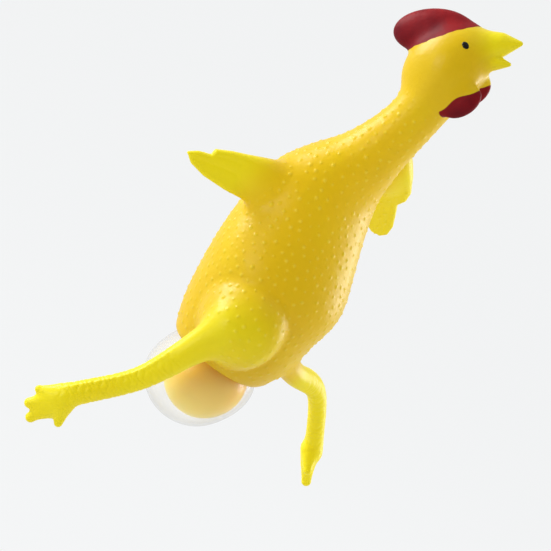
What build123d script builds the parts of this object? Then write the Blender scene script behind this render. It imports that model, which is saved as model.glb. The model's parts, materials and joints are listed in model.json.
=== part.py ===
from build123d import *
import math
import os

# A squeeze-toy rubber chicken, held in the fist, with its egg pressed out of the vent.
# Millimetres. +Z runs up the torso, +X is the way the breast faces and +Y is the bird's left.
# The origin is the middle of the torso, where the hand closes round it.
# The real skin is one soft moulding. Here it is cut where it flexes: each moving section starts
# in a ball (or, on a wing, a rolled edge) that turns in a matching hollow of the section before it.

# Driving dimensions
GAP = 0.3                      # running gap between two sections that turn on each other
TOUCH = 0.05                   # gap between two pieces that only lie against each other
SKIN = 2.4                     # wall of the hollow torso
SWING = 26                     # degrees that a neck section can bend either way
LEG_SWING = 40                 # degrees that a leg section can bend either way
WING_SWING = 38                # degrees that a wing section can bend either way
WIDE = 40.0                    # wider than anything that a cut has to clear
ROOM_SPREAD = 2.6              # half width of the space beyond a pivot, in radii of its ball
ROOM_REACH = 4                 # and its length

# Torso: height, forward offset, fore-and-aft radius and sideways radius of each section
TORSO = [
    (-38.0, 0.0, 17.6, 17.4),
    (-31.0, 0.0, 20.2, 19.6),
    (-16.0, 0.0, 23.8, 22.6),
    (-2.0, 0.0, 25.3, 24.2),
    (11.0, -1.1, 24.2, 24.2),
    (24.0, -3.6, 20.2, 22.8),
    (31.5, -4.8, 17.0, 21.0),
    (37.0, -3.6, 15.4, 18.8),
    (43.0, -0.8, 14.2, 14.2),
]
VENT_Z = TORSO[0][0]
VENT_R = 16.2
CAVITY_TOP = 26.0              # the cavity stops here, under the root of the neck
CAVITY_STEPS = 5               # torso sections that the cavity follows, counted from the vent
CAVITY_CROWN = 9.0             # how far it draws in from the last of them to its top

# Egg: the clear bubble that the squeezed sac pushes out of the vent, and the yolk in it
BUBBLE_R = 18.4
BUBBLE_DROP = 8.6              # bubble's centre below the vent
FILM = 0.6
YOLK_R = 14.2
YOLK_FORWARD = 1.0
YOLK_DROP = 7.4                # and the yolk's
SAC_WALL = 0.6

# Neck: the pivots of its two sections and of the head
NECK_ROOT = Vector(-0.8, 0, 43.0)
NECK_MID = Vector(5.2, 0, 59.0)
NAPE = Vector(8.0, 0, 75.0)
NECK_ROOT_R = 13.9
NECK_MID_R = 9.7
NAPE_R = 9.0

# Head: forward and up from the nape in the plane of the beak, which is turned to the bird's left
HEAD_TURN = 18                 # degrees
SKULL_AT = (-1.6, 17.2)
SKULL = (12.2, 9.6, 13.2)      # half length, half width, half height
UPPER_BEAK = ((3.6, 24.6), (14.3, 34.2), 7.0, 0.7)     # root, tip, root radius, tip radius
LOWER_BEAK = ((5.0, 20.9), (14.4, 27.4), 6.0, 0.6)
COMB_THICK = 7.6
COMB_EDGE = [
    (-3.1, 30.2), (-8.0, 29.0), (-12.7, 27.5), (-18.5, 24.3), (-23.4, 20.0),
    (-25.6, 16.1), (-24.3, 13.2), (-20.6, 10.9), (-15.9, 10.4),
]
COMB_FOOT = [(-6.0, 10.0), (-1.0, 24.0)]               # inside the skull
EYE_R = 1.25
EYE_AT = (2.6, 24.0)
EYE_DEPTH = 5.5                # from the middle plane to the eye's inner face
EYE_HEIGHT = 3.4
WATTLE = (4.4, 2.6, 6.6)       # half depth, half thickness, half height
WATTLE_LEAN = 28               # degrees
WATTLE_SPREAD = 4.6            # from the middle plane
WATTLES = {"right": (11.8, 8.4), "left": (8.8, 12.8)}

# Wings: hinge point, wing tip, and the way its leading edge faces
WINGS = {
    "right": (Vector(-10.6, -23.2, 23.6), Vector(-26.0, -47.2, 19.5), Vector(-0.14, -0.114, 0.983)),
    "left": (Vector(-3.9, 22.3, 45.0), Vector(-6.4, 43.9, 25.2), Vector(0.592, 0.606, 0.531)),
}
WING_EDGE_R = 2.4              # rolled edge that the wing turns on
WING_TIP_R = 1.9
WING_PANEL = 0.94              # half thickness of a wing, in radii of the rolled edge it starts from
WING_BEND = 13.0               # from the wing's root to the bend of its tip
WING_ROOT_CHORD = (-7.0, 8.0)  # trailing and leading edge at the root
WING_BEND_CHORD = (-6.8, 5.6)
WING_LOBE = [(19.0, 3.8), (19.6, 1.8), (25.0, 1.2)]    # short upper feather and its notch
WING_END = (28.0, -0.8)
WING_TRAIL = [(25.0, -4.4), (19.0, -6.6)]
SHOULDER_LENGTH = 9.0
GROOVE_CHORD = (WING_ROOT_CHORD[0] - 3, WING_ROOT_CHORD[1] + 3)

# Legs: thigh, then pivots at the thigh's end, mid-shank and ankle, then the point of the foot
THIGH = (16.0, 13.0, 17.0)     # half length, half width, half height
THIGHS = {"right": Vector(8.6, -12.0, -19.0), "left": Vector(3.5, 11.5, -18.0)}
LEGS = {
    "right": (Vector(10.6, -26.0, -33.0), Vector(3.9, -32.6, -51.5), Vector(-6.0, -43.0, -69.0),
              Vector(-12.4, -48.0, -84.6)),
    "left": (Vector(12.0, 26.0, -29.6), Vector(10.8, 43.0, -35.7), Vector(12.0, 58.0, -52.2),
             Vector(15.9, 66.0, -66.2)),
}
THIGH_END_R = 9.5
HIP_RIM = 0.8                  # wall of the thigh's end round the leg's root
LEG_ROOT_R = 5.4
KNEE_R = 4.3
ANKLE_R = 4.0
FOOT_FLAT = {"right": Vector(0.60, -0.77, 0.0), "left": Vector(-0.62, -0.61, -0.47)}
PALM = (6.0, 4.6, 2.2)
PALM_AT = 7.0
PALM_R = 2.4
TOES_AT = 5.5
TOES = [(9.5, -8.6), (15.4, -4.0), (16.4, 1.4), (9.4, 6.6)]
TOE_R = 1.9
TOE_TIP_R = 1.5


UPWARD = (Align.CENTER, Align.CENTER, Align.MIN)


def ball(at, radius):
    return Pos(*at) * Sphere(radius)


def ellipsoid(radii):
    return scale(Sphere(1), by=radii)


def taper(start, end, start_r, end_r):
    """A cone's frustum whose axis runs from start to end."""
    run = end - start
    return Plane(origin=start + run / 2, z_dir=run).location * Cone(start_r, end_r, run.length)


def room(pivot, toward, radius, swing):
    """What a section leaves free for the one that turns on it: its ball, and all beyond its rim."""
    rim = radius * math.sin(math.radians(swing)) + GAP
    start = pivot - toward.normalized() * rim
    beyond = Cylinder(ROOM_SPREAD * radius, ROOM_REACH * radius, align=UPWARD)
    return ball(pivot, radius + GAP) + Plane(origin=start, z_dir=toward).location * beyond


def above(z):
    """All the space above a height."""
    return Pos(0, 0, z) * Box(2 * WIDE, 2 * WIDE, 2 * WIDE, align=UPWARD)


def torso_form(inset, sections):
    """The torso's outer shape through those of its sections, made smaller all round by inset."""
    rings = [
        Plane((x, 0, z)) * Ellipse(along - inset, across - inset) for z, x, along, across in sections
    ]
    return loft(rings)


def cavity(inset):
    """The hollow of the torso, made smaller all round by inset, open at the vent."""
    lower = list(TORSO[:CAVITY_STEPS])
    z, x, along, across = lower[-1]
    top = (CAVITY_TOP - inset, x, along - CAVITY_CROWN, across - CAVITY_CROWN)
    hollow = torso_form(SKIN + inset, lower + [top]) & above(VENT_Z + SKIN)
    return hollow + Pos(0, 0, VENT_Z) * Cylinder(VENT_R - inset, 3 * SKIN)


def wing_frame(side):
    hinge, tip, chord = WINGS[side]
    along = tip - hinge
    return Plane(origin=hinge, x_dir=along, z_dir=along.cross(chord)).location


def rolled_edge(x, radius, chord):
    """A rod along the wing's chord, at x from the hinge."""
    low, high = chord
    return Pos(x, (low + high) / 2, 0) * Rot(90, 0, 0) * Cylinder(radius, high - low)


def wing_room(x, radius, chord, swing):
    rim = radius * math.sin(math.radians(swing)) + GAP
    low, high = chord
    beyond = Box(WIDE, WIDE, WIDE, align=(Align.MIN, Align.CENTER, Align.CENTER))
    return rolled_edge(x, radius + GAP, (low - radius, high + radius)) + Pos(x - rim, 0, 0) * beyond


def panel(points, radius):
    """A flat piece of wing, a little thinner than the rolled edge it starts from."""
    return extrude(make_face(Polyline(*points, close=True)), radius * WING_PANEL, both=True)


def wing(side):
    (root_low, root_high), (bend_low, bend_high) = WING_ROOT_CHORD, WING_BEND_CHORD
    outline = [(0, root_low), (WING_BEND, bend_low), (WING_BEND, bend_high), (0, root_high)]
    inner = panel(outline, WING_TIP_R) + rolled_edge(0, WING_EDGE_R, WING_ROOT_CHORD)
    return wing_frame(side) * (inner - wing_room(WING_BEND, WING_TIP_R, WING_BEND_CHORD, WING_SWING))


def wing_tip(side):
    low, high = WING_BEND_CHORD
    outline = [(WING_BEND, low), (WING_BEND, high), *WING_LOBE, WING_END, *WING_TRAIL]
    return wing_frame(side) * (
        panel(outline, WING_TIP_R) + rolled_edge(WING_BEND, WING_TIP_R, WING_BEND_CHORD))


def shoulder(side):
    """The root that the torso's skin puts out to carry a wing."""
    low, high = WING_ROOT_CHORD
    root = Box(SHOULDER_LENGTH, high - low, 2 * WING_EDGE_R, align=(Align.MAX, Align.CENTER, Align.CENTER))
    placed = Pos(0, (low + high) / 2, 0) * root
    return wing_frame(side) * (placed - wing_room(0, WING_EDGE_R, WING_ROOT_CHORD, WING_SWING))


def thigh(side):
    """The drumstick moulded on the torso's flank, ending in the hollow that the leg turns in."""
    centre = THIGHS[side]
    hip, knee = LEGS[side][:2]
    drumstick = Pos(*centre) * ellipsoid(THIGH) + taper(centre, hip, THIGH_END_R, LEG_ROOT_R + HIP_RIM)
    return drumstick - room(hip, knee - hip, LEG_ROOT_R, LEG_SWING)


def section(start, end, beyond, start_r, end_r, swing):
    """A length of neck or leg from one pivot to the next, with the next one's hollow in its end."""
    length = ball(start, start_r) + taper(start, end, start_r, end_r)
    return length - room(end, beyond - end, end_r, swing)


def foot(side):
    ankle, point = LEGS[side][2:]
    frame = Plane(origin=ankle, x_dir=point - ankle, z_dir=FOOT_FLAT[side]).location
    shape = Sphere(ANKLE_R)
    shape += taper(Vector(0, 0, 0), Vector(PALM_AT, 0, 0), ANKLE_R, PALM_R)
    shape += Pos(PALM_AT, 0, 0) * ellipsoid(PALM)
    heel = Vector(TOES_AT, 0, 0)
    for x, y in TOES:
        tip = Vector(x, y, 0)
        shape += taper(heel, tip, TOE_R, TOE_TIP_R) + ball(tip, TOE_TIP_R)
    return frame * shape


def head_frame():
    turn = math.radians(HEAD_TURN)
    forward = Vector(math.cos(turn), math.sin(turn), 0)
    return Plane(origin=NAPE, x_dir=forward, z_dir=(0, 0, 1)).location


def in_head(forward, up, left=0):
    return Vector(forward, left, up)


def head_shell():
    skull_at = in_head(*SKULL_AT)
    throat = Sphere(NAPE_R) + taper(Vector(0, 0, 0), skull_at, NAPE_R, NAPE_R + 0.5)
    return head_frame() * (throat + Pos(*skull_at) * ellipsoid(SKULL))


def beak(form):
    root, tip, root_r, tip_r = form
    end = in_head(*tip)
    return head_frame() * (taper(in_head(*root), end, root_r, tip_r) + ball(end, tip_r))


def comb():
    crest = Spline(*[in_head(*point) for point in COMB_EDGE])
    foot_line = Polyline(crest @ 1, *[in_head(*point) for point in COMB_FOOT], crest @ 0)
    return head_frame() * extrude(make_face(crest + foot_line), COMB_THICK / 2, both=True)


def wattle(side):
    sign = -1 if side == "right" else 1
    flap = Rot(0, WATTLE_LEAN, 0) * ellipsoid(WATTLE)
    return head_frame() * (Pos(*in_head(*WATTLES[side], sign * WATTLE_SPREAD)) * flap)


def eye(side):
    """A flat painted eye, standing a little proud of the cheek."""
    sign = -1 if side == "right" else 1
    middle = in_head(*EYE_AT, sign * (EYE_DEPTH + EYE_HEIGHT / 2))
    return head_frame() * (Pos(*middle) * Rot(90, 0, 0) * Cylinder(EYE_R, EYE_HEIGHT))


def egg():
    """The film of the bubble, the clear white in it and the yolk, all below the vent."""
    centre = Vector(0, 0, VENT_Z - BUBBLE_DROP)
    yolk = ball((YOLK_FORWARD, 0, VENT_Z - YOLK_DROP), YOLK_R)
    inside = ball(centre, BUBBLE_R - FILM)
    film = ball(centre, BUBBLE_R) - inside - above(VENT_Z)
    return film, inside - yolk_room() - above(VENT_Z), yolk


def yolk_room():
    return ball((YOLK_FORWARD, 0, VENT_Z - YOLK_DROP), YOLK_R + GAP)


def sac():
    """The clear sac that lines the torso, and the fluid in it."""
    wall = cavity(TOUCH) - cavity(TOUCH + SAC_WALL)
    fluid = cavity(2 * TOUCH + SAC_WALL) - yolk_room()
    return wall & above(VENT_Z + TOUCH), fluid & above(VENT_Z + TOUCH)


def build():
    parts = {}

    parts["egg_membrane"], parts["egg_white"], parts["yolk"] = egg()
    parts["fluid_sac"], parts["fluid_fill"] = sac()

    outer = torso_form(0, TORSO)
    for side in WINGS:
        outer += shoulder(side)
        outer -= wing_frame(side) * rolled_edge(0, WING_EDGE_R + GAP, GROOVE_CHORD)
    outer -= room(NECK_ROOT, NECK_MID - NECK_ROOT, NECK_ROOT_R, SWING)
    parts["torso_skin"] = outer - cavity(0)

    crown = NAPE + Vector(0, 0, 1)
    parts["neck_lower"] = section(NECK_ROOT, NECK_MID, NAPE, NECK_ROOT_R, NECK_MID_R, SWING)
    parts["neck_upper"] = section(NECK_MID, NAPE, crown, NECK_MID_R, NAPE_R, SWING)

    shell = head_shell()
    upper = beak(UPPER_BEAK) - shell
    parts["head_shell"] = shell
    parts["upper_beak"] = upper
    parts["lower_beak"] = beak(LOWER_BEAK) - shell - upper
    parts["comb"] = comb() - shell - upper
    for side in WINGS:
        parts["wattle_" + side] = wattle(side) - shell - parts["lower_beak"]
        parts["eye_" + side] = eye(side) - shell - upper
        parts["wing_" + side] = wing(side)
        parts["wing_tip_" + side] = wing_tip(side)
        hip, knee, ankle, point = LEGS[side]
        parts["thigh_" + side] = thigh(side) - torso_form(-TOUCH, TORSO)
        parts["leg_" + side] = section(hip, knee, ankle, LEG_ROOT_R, KNEE_R, LEG_SWING)
        parts["shank_" + side] = section(knee, ankle, point, KNEE_R, ANKLE_R, LEG_SWING)
        parts["foot_" + side] = foot(side)
    return parts


os.makedirs("parts", exist_ok=True)
for name, shape in build().items():
    export_step(shape, f"parts/{name}.step")
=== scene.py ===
import json
import math

import bpy
import numpy as np
from mathutils import Matrix, Vector, kdtree

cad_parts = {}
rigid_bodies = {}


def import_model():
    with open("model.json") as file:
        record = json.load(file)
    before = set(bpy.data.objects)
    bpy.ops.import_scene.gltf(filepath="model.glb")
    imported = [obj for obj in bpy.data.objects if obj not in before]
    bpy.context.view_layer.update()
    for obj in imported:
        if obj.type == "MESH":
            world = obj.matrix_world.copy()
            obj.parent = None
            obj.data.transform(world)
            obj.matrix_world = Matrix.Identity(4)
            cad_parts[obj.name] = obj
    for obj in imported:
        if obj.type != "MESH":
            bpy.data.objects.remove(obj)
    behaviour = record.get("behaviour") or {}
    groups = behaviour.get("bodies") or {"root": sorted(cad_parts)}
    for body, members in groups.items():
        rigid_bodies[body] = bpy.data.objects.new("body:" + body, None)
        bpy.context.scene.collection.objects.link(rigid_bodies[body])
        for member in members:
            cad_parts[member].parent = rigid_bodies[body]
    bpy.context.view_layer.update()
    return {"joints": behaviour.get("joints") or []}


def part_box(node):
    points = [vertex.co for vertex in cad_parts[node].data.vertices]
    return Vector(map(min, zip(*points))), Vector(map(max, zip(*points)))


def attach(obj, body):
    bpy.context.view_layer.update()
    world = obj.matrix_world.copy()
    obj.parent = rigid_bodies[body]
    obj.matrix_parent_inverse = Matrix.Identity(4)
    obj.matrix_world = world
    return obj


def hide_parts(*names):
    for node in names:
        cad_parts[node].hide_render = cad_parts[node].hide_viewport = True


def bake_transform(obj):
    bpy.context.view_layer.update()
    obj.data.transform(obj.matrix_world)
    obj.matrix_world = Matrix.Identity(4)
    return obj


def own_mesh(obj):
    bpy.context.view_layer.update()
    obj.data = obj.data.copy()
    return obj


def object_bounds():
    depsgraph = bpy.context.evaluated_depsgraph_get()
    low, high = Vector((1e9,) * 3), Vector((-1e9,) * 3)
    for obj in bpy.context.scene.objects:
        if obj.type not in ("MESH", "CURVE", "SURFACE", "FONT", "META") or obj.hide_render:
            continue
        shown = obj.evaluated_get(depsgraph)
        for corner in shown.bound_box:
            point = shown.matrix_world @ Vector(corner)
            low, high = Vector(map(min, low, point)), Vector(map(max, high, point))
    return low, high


# A squeeze-toy rubber chicken. Its skin is one soft moulding, so it is made here as one surface,
# from rounded forms that melt into each other, and only then cut into a piece for each flex.
# The forms are in millimetres, in the row frame; the finished meshes are in metres.

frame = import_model()
joints = {joint["name"]: joint for joint in frame["joints"]}

MM = 0.001
SIDES = ("right", "left")


def pivot(name):
    return np.array(joints[name]["pos_m"]) / MM


def axis(name):
    return np.array(joints[name]["axis"], float)


def unit(v):
    v = np.asarray(v, float)
    return v / np.linalg.norm(v)


# ---------------------------------------------------------------- camera, stage and light

VIEW_AZIMUTH, VIEW_ELEVATION, VIEW_ROLL = 38.0, 12.0, 36.0
VIEW_DISTANCE = 0.70
VIEW_ACROSS = 0.1874           # width of the view at the origin
SENSOR = 36.0
AIM = (-0.0015, -0.0019)       # the view's middle, right and above of the origin


def view_axes():
    """Right, up and backward of the camera before it is rolled."""
    a, e = math.radians(VIEW_AZIMUTH), math.radians(VIEW_ELEVATION)
    back = Vector((math.sin(a) * math.cos(e), -math.cos(a) * math.cos(e), math.sin(e)))
    right = Vector((math.cos(a), math.sin(a), 0))
    return right, back.cross(right), back


def rolled_axes():
    right, up, back = view_axes()
    roll = math.radians(VIEW_ROLL)
    return (right * math.cos(roll) + up * math.sin(roll),
            up * math.cos(roll) - right * math.sin(roll), back)


def make_camera():
    right, up, back = rolled_axes()
    data = bpy.data.cameras.new("camera")
    data.sensor_width = SENSOR
    data.lens = SENSOR * VIEW_DISTANCE / VIEW_ACROSS
    data.clip_end = 50
    camera = bpy.data.objects.new("camera", data)
    bpy.context.scene.collection.objects.link(camera)
    turn = Matrix((right, up, back)).transposed().to_4x4()
    middle = right * AIM[0] + up * AIM[1]
    camera.matrix_world = Matrix.Translation(middle + back * VIEW_DISTANCE) @ turn
    bpy.context.scene.camera = camera


make_camera()

# ---------------------------------------------------------------- rounded forms


def smooth_min(a, b, k):
    h = np.maximum(k - np.abs(a - b), 0) / k
    return np.minimum(a, b) - h * h * k * 0.25


def smooth_max(a, b, k):
    return -smooth_min(-a, -b, k)


def ellipsoid(p, centre, radii, turn=None):
    q = p - centre
    if turn is not None:
        q = q @ turn
    near = np.sqrt(((q / radii) ** 2).sum(-1))
    slope = np.sqrt(((q / np.square(radii)) ** 2).sum(-1))
    return near * (near - 1) / np.maximum(slope, 1e-6)


def round_cone(p, a, b, ra, rb):
    """A ball of radius ra at a, one of rb at b, and the cone that touches both."""
    ba = b - a
    length = np.linalg.norm(ba)
    ax = ba / length
    q = p - a
    y = q @ ax
    x = np.sqrt(np.maximum((q * q).sum(-1) - y * y, 0))
    slope = (ra - rb) / length
    rise = math.sqrt(max(1 - slope * slope, 1e-6))
    k = x * -slope + y * rise
    side = x * rise + y * slope - ra
    at_a = np.sqrt(x * x + y * y) - ra
    at_b = np.sqrt(x * x + (y - length) ** 2) - rb
    return np.where(k < 0, at_a, np.where(k > rise * length, at_b, side))


def smooth_path(points, steps):
    """Catmull-Rom curve through points, which may carry a radius as a fourth number."""
    points = np.asarray(points, float)
    padded = np.vstack([2 * points[0] - points[1], points, 2 * points[-1] - points[-2]])
    out = []
    for a, b, c, d in zip(padded, padded[1:], padded[2:], padded[3:]):
        for t in np.arange(steps) / steps:
            out.append(0.5 * (2 * b + (c - a) * t + (2 * a - 5 * b + 4 * c - d) * t * t
                              + (3 * b - a - 3 * c + d) * t ** 3))
    out.append(points[-1])
    return np.array(out)


def tube(p, path):
    """A limb along a path of points with radii."""
    found = None
    for a, b in zip(path, path[1:]):
        d = round_cone(p, a[:3], b[:3], a[3], b[3])
        found = d if found is None else np.minimum(found, d)
    return found


def polygon_distance(x, y, corners):
    """Signed distance to a polygon, negative inside."""
    best, inside = np.full(x.shape, 1e9), np.ones(x.shape)
    previous = corners[-1]
    for corner in corners:
        ex, ey = previous[0] - corner[0], previous[1] - corner[1]
        wx, wy = x - corner[0], y - corner[1]
        t = np.clip((wx * ex + wy * ey) / (ex * ex + ey * ey), 0, 1)
        best = np.minimum(best, (wx - ex * t) ** 2 + (wy - ey * t) ** 2)
        above, below, turn = y >= corner[1], y < previous[1], ex * wy > ey * wx
        inside = np.where((above & below & turn) | (~above & ~below & ~turn), -inside, inside)
        previous = corner
    return inside * np.sqrt(best)


# ---------------------------------------------------------------- trunk: torso and neck

# height, forward offset, fore-and-aft radius, sideways radius
TRUNK = np.array([
    (-46.0, 0.0, 17.4, 17.0),
    (-38.0, 0.0, 18.0, 17.6),
    (-31.0, 0.5, 21.0, 19.8),
    (-16.0, 0.4, 24.3, 22.6),
    (-2.0, 0.9, 25.7, 24.9),
    (11.0, -1.6, 23.7, 23.6),
    (22.0, -3.7, 20.6, 21.8),
    (31.5, -4.6, 17.4, 20.4),
    (37.0, -3.6, 15.6, 17.8),
    (43.0, -1.4, 13.8, 14.8),
    (48.0, 1.0, 12.2, 12.4),
    (54.0, 3.4, 10.6, 10.6),
    (60.0, 5.4, 9.6, 9.6),
    (67.0, 7.3, 8.9, 8.9),
    (74.0, 8.3, 9.0, 8.8),
    (82.0, 8.0, 10.2, 9.2),
    (90.0, 7.0, 11.0, 9.6),
])
VENT_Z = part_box("torso_skin")[0].z / MM
VENT_R = 15.9
VENT_TOP = -14.0               # the hollow behind the vent is round-ended and reaches up past this


def natural_curve(x, y):
    """Second derivatives of the natural cubic spline through the points."""
    n = len(x)
    h = np.diff(x)
    a, r = np.eye(n), np.zeros(n)
    for i in range(1, n - 1):
        a[i, i - 1:i + 2] = h[i - 1], 2 * (h[i - 1] + h[i]), h[i]
        r[i] = 6 * ((y[i + 1] - y[i]) / h[i] - (y[i] - y[i - 1]) / h[i - 1])
    return np.linalg.solve(a, r)


def fine_table(table, count=400):
    z = np.linspace(table[0, 0], table[-1, 0], count)
    columns = [z]
    for column in table.T[1:]:
        m = natural_curve(table[:, 0], column)
        i = np.clip(np.searchsorted(table[:, 0], z) - 1, 0, len(table) - 2)
        h = table[i + 1, 0] - table[i, 0]
        a, b = (table[i + 1, 0] - z) / h, (z - table[i, 0]) / h
        columns.append(a * column[i] + b * column[i + 1]
                       + ((a ** 3 - a) * m[i] + (b ** 3 - b) * m[i + 1]) * h * h / 6)
    return np.array(columns)


TRUNK_FINE = fine_table(TRUNK)


def trunk(p):
    z = p[..., 2]
    middle, along, across = (np.interp(z, TRUNK_FINE[0], column) for column in TRUNK_FINE[1:])
    x, y = p[..., 0] - middle, p[..., 1]
    near = np.sqrt((x / along) ** 2 + (y / across) ** 2)
    slope = np.sqrt((x / along ** 2) ** 2 + (y / across ** 2) ** 2)
    body = near * (near - 1) / np.maximum(slope, 1e-6)
    body = np.where(near < 0.3, (near - 1) * np.minimum(along, across), body)
    body = smooth_max(body, VENT_Z - z, 3.5)
    body = smooth_max(body, z - TRUNK[-1, 0], 6)
    return smooth_max(body, -hollow(p), 1.6)


def hollow(p):
    """The way up behind the vent, which the yolk goes back through."""
    above = np.maximum(p[..., 2] - VENT_TOP, 0)
    return np.sqrt(p[..., 0] ** 2 + p[..., 1] ** 2 + above ** 2) - VENT_R


# ---------------------------------------------------------------- head

HEAD_FRAME = np.array([unit((-axis("head_nod")[1], axis("head_nod")[0], 0)) * -1,
                       axis("head_nod"), (0, 0, 1)]).T
NAPE = pivot("head_nod")


def in_head(forward, up, left=0.0):
    """A point of the head, from the nape."""
    return NAPE + HEAD_FRAME @ np.array((forward, left, up), float)


def tilt(degrees):
    """Axes of the head with the forward one raised by some degrees, as columns."""
    a = math.radians(degrees)
    raised = np.array([(math.cos(a), 0, math.sin(a)), (0, 1, 0), (-math.sin(a), 0, math.cos(a))]).T
    return HEAD_FRAME @ raised


# Forward and up of the nape, half lengths (fore and aft, across, up), and for some the degrees of tilt.
SKULL_AT, SKULL_RADII = (-0.4, 15.0), (10.8, 9.3, 12.5)
CROWN_AT, CROWN_RADII, CROWN_TILT = (-0.8, 19.0), (10.5, 8.6, 9.4), 38
BACK_AT, BACK_RADII = (-7.2, 9.5), (6.0, 6.0, 8.0)
COMB_AT, COMB_RADII, COMB_TILT = (-12.3, 20.7), (14.0, 4.6, 7.6), 35
KNOB_AT, KNOB_RADII, KNOB_TILT = (0.5, 27.4), (3.4, 2.6, 2.4), -20
WATTLE_AT = {"right": (11.5, 8.4, -4.6), "left": (9.0, 12.2, 4.6)}     # forward, up, left
WATTLE_RADII, WATTLE_TILT = (4.8, 2.6, 7.2), -26
# Forward, up and radius along each half of the beak, from the cheek to the tip.
UPPER_BEAK = ((2.5, 23.5, 7.0), (9.2, 30.4, 4.0), (14.7, 34.6, 0.8))
LOWER_BEAK = ((3.5, 19.2, 7.0), (9.2, 23.7, 3.5), (15.7, 27.0, 0.7))


def head_ball(at, radii, turn, reach, blend):
    middle = in_head(*at)
    return (lambda p: ellipsoid(p, middle, radii, turn)), middle, reach, blend


def half_beak(stations, middle, blend):
    path = np.array([(*in_head(forward, up), radius) for forward, up, radius in stations])
    return (lambda p: tube(p, path)), in_head(*middle), 20, blend


def head_parts():
    """(form, middle, reach, blend) of each rounded form of the head."""
    yield head_ball(SKULL_AT, SKULL_RADII, None, 16, 6.0)
    yield head_ball(CROWN_AT, CROWN_RADII, tilt(CROWN_TILT), 16, 6.0)
    yield head_ball(BACK_AT, BACK_RADII, None, 12, 6.0)
    yield half_beak(UPPER_BEAK, (8, 29), 4.0)
    yield half_beak(LOWER_BEAK, (8, 23), 0.8)
    yield head_ball(COMB_AT, COMB_RADII, tilt(COMB_TILT), 20, 3.0)
    yield head_ball(KNOB_AT, KNOB_RADII, tilt(KNOB_TILT), 8, 2.5)
    for side in SIDES:
        yield lambda p, s=side: wattle(p, s), in_head(*WATTLE_AT[side]), 11, 3.0


def wattle(p, side):
    return ellipsoid(p, in_head(*WATTLE_AT[side]), WATTLE_RADII, tilt(WATTLE_TILT))


# ---------------------------------------------------------------- thighs and legs

THIGH_RADII = np.array((16.5, 12.6, 17.0))
THIGH_AT = {"right": np.array((11.0, -14.2, -17.6)), "left": np.array((2.6, 11.4, -17.0))}
LEG_INSIDE, LEG_AHEAD = 14, 5       # how far a leg runs on inside the thigh, and past the ankle
# Radius of a leg inside the thigh, at the hip, mid shank and ankle, and in the foot.
LEG_RADII = {"right": (8.2, 5.2, 3.75, 3.9, 4.1), "left": (5.4, 4.5, 3.9, 3.8, 4.0)}
LEG_FLATTEN = 0.82
# How far a leg bows away from its pivots, at mid shank and at the ankle.
LEG_BOW = {
    "right": np.array(((0.35, 0.15, -0.5), (0.0, 0.0, 0.0))),
    "left": np.array(((0.5, 1.0, 1.8), (0.8, 0.9, 0.9))),
}
PATH_STEPS = 6
# A foot's parts, ahead of the ankle and across: its palm, then the tip and radius of each toe.
PALM_AT, PALM_RADII = (8.0, -0.6), (7.6, 4.9, 2.3)
TOES = [(11.4, -6.5, 1.4), (17.0, -3.8, 1.8), (19.0, 0.7, 1.8), (11.0, 6.4, 1.5)]
TOE_ROOT_AHEAD, TOE_ROOT_SPREAD, TOE_ROOT_R = 4.0, 0.25, 2.4


def flattened(p, about, normal, share):
    """Points drawn out along a direction, so that a round form comes out flat along it."""
    return p + np.multiply.outer((p - about) @ normal, normal) * (1 / share - 1)


def foot_axes(side):
    """Along, across and flat of a foot, as columns, from its hinge and its CAD box."""
    across = axis("foot_flex_" + side)
    low, high = (np.array(corner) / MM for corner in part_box("foot_" + side))
    along = (low + high) / 2 - pivot("foot_flex_" + side)
    along = unit(along - across * (along @ across))
    return np.array([along, across, np.cross(along, across)]).T


def leg_path(side):
    hip, knee, ankle = (pivot(name + side) for name in ("leg_swing_", "shank_flex_", "foot_flex_"))
    frame_axes = foot_axes(side)
    inside = hip - unit(knee - hip) * LEG_INSIDE
    ahead = ankle + frame_axes[:, 0] * LEG_AHEAD
    knee_bow, ankle_bow = LEG_BOW[side]
    points = [inside, hip, knee + knee_bow, ankle + ankle_bow, ahead + ankle_bow]
    return smooth_path([(*at, r) for at, r in zip(points, LEG_RADII[side])], PATH_STEPS)


def leg_parts():
    for side in SIDES:
        thigh = THIGH_AT[side]
        yield (lambda p, c=thigh: ellipsoid(p, c, THIGH_RADII)), thigh, 22, 1.8
        path = leg_path(side)
        flat = foot_axes(side)[:, 2]
        about = path[len(path) // 2, :3]
        straight = path.copy()
        straight[:, :3] = flattened(path[:, :3], about, flat, LEG_FLATTEN)
        middle = (path[0, :3] + path[-1, :3]) / 2
        reach = np.linalg.norm(path[:, :3] - middle, axis=1).max() + 12
        yield (lambda p, s=straight, a=about, n=flat:
               tube(flattened(p, a, n, LEG_FLATTEN), s) * LEG_FLATTEN), middle, reach, 3.5
        yield from foot_parts(side)


def foot_parts(side):
    ankle = pivot("foot_flex_" + side)
    axes = foot_axes(side)
    palm = ankle + axes[:, 0] * PALM_AT[0] + axes[:, 1] * PALM_AT[1]
    yield (lambda p: ellipsoid(p, palm, PALM_RADII, axes)), palm, 15, 3.0
    for ahead, across, radius in TOES:
        root = ankle + axes @ np.array((TOE_ROOT_AHEAD, across * TOE_ROOT_SPREAD, 0))
        tip = ankle + axes @ np.array((ahead - radius, across, 0))
        form = lambda p, a=root, b=tip, r=radius: round_cone(p, a, b, TOE_ROOT_R, r)
        yield form, (root + tip) / 2, 16, 1.6


# ---------------------------------------------------------------- wings

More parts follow.
